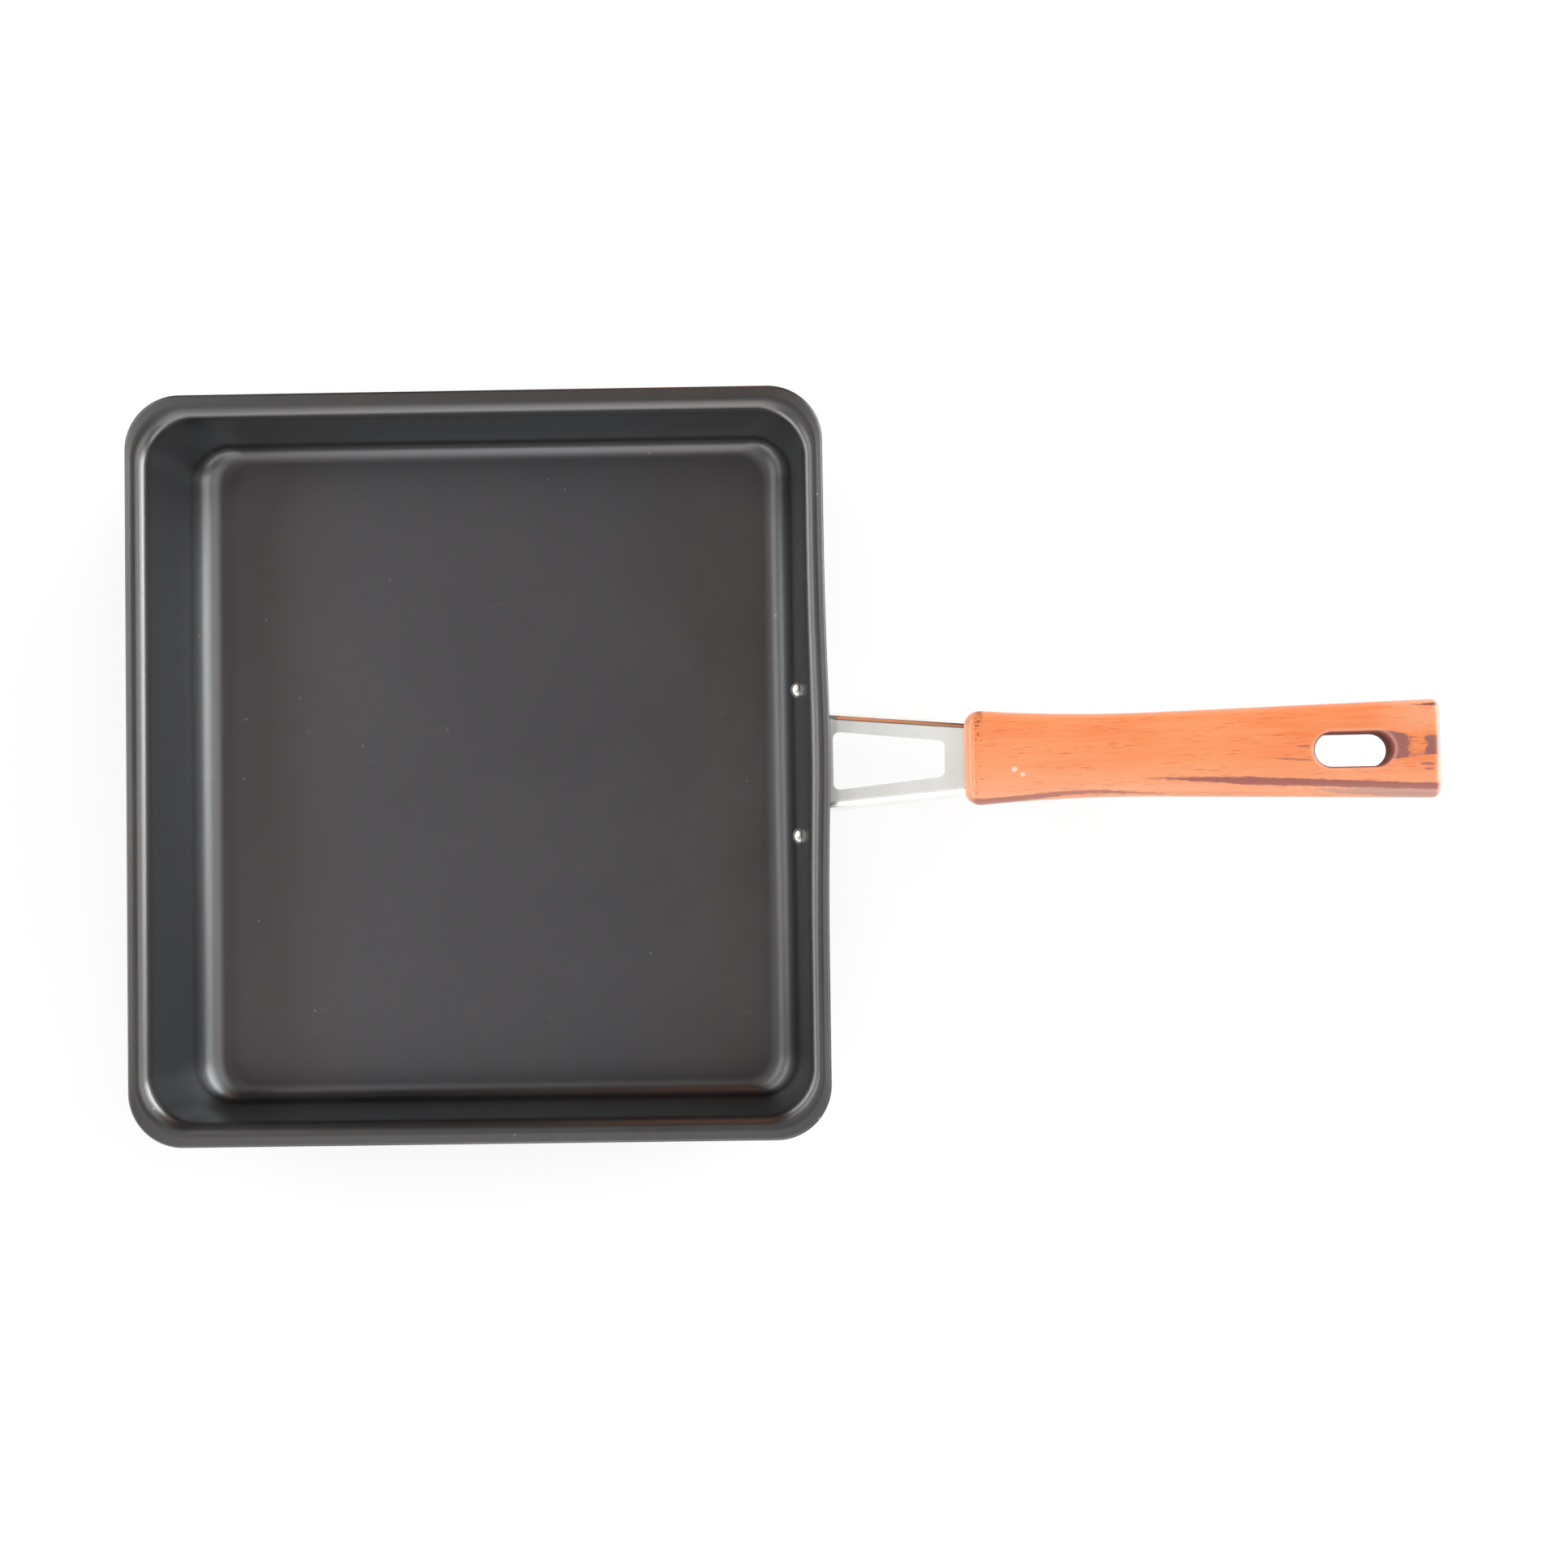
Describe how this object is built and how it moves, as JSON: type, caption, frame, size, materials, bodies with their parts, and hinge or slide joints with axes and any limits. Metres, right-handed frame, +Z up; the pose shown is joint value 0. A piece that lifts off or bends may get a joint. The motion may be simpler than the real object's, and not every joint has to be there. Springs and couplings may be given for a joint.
{
  "type": "tamagoyaki pan",
  "caption": "Rectangular rolled-omelette pan with leaning end walls, a flanged rim, a riveted channel bracket with a window and a wooden grip with a hang slot.",
  "frame": {"origin": "centre of the pan's flat base, on its underside", "axes": "+X from the pan's centre along the handle, +Z up out of the pan, +Y completes a right-handed frame"},
  "size_m": [0.358, 0.2096, 0.0629],
  "materials": {
    "coated_pan": "dark satin non-stick coat over drawn aluminium",
    "bracket_steel": "polished stainless steel",
    "rivet_metal": "bright",
    "lacquered_wood": "beech under clear gloss lacquer",
    "screw_steel": "zinc plated"
  },
  "bodies": {
    "root": {"pan_body": "coated_pan", "handle_bracket": "bracket_steel", "rivets": "rivet_metal", "wood_handle": "lacquered_wood", "handle_screw": "screw_steel"}
  },
  "joints": []
}
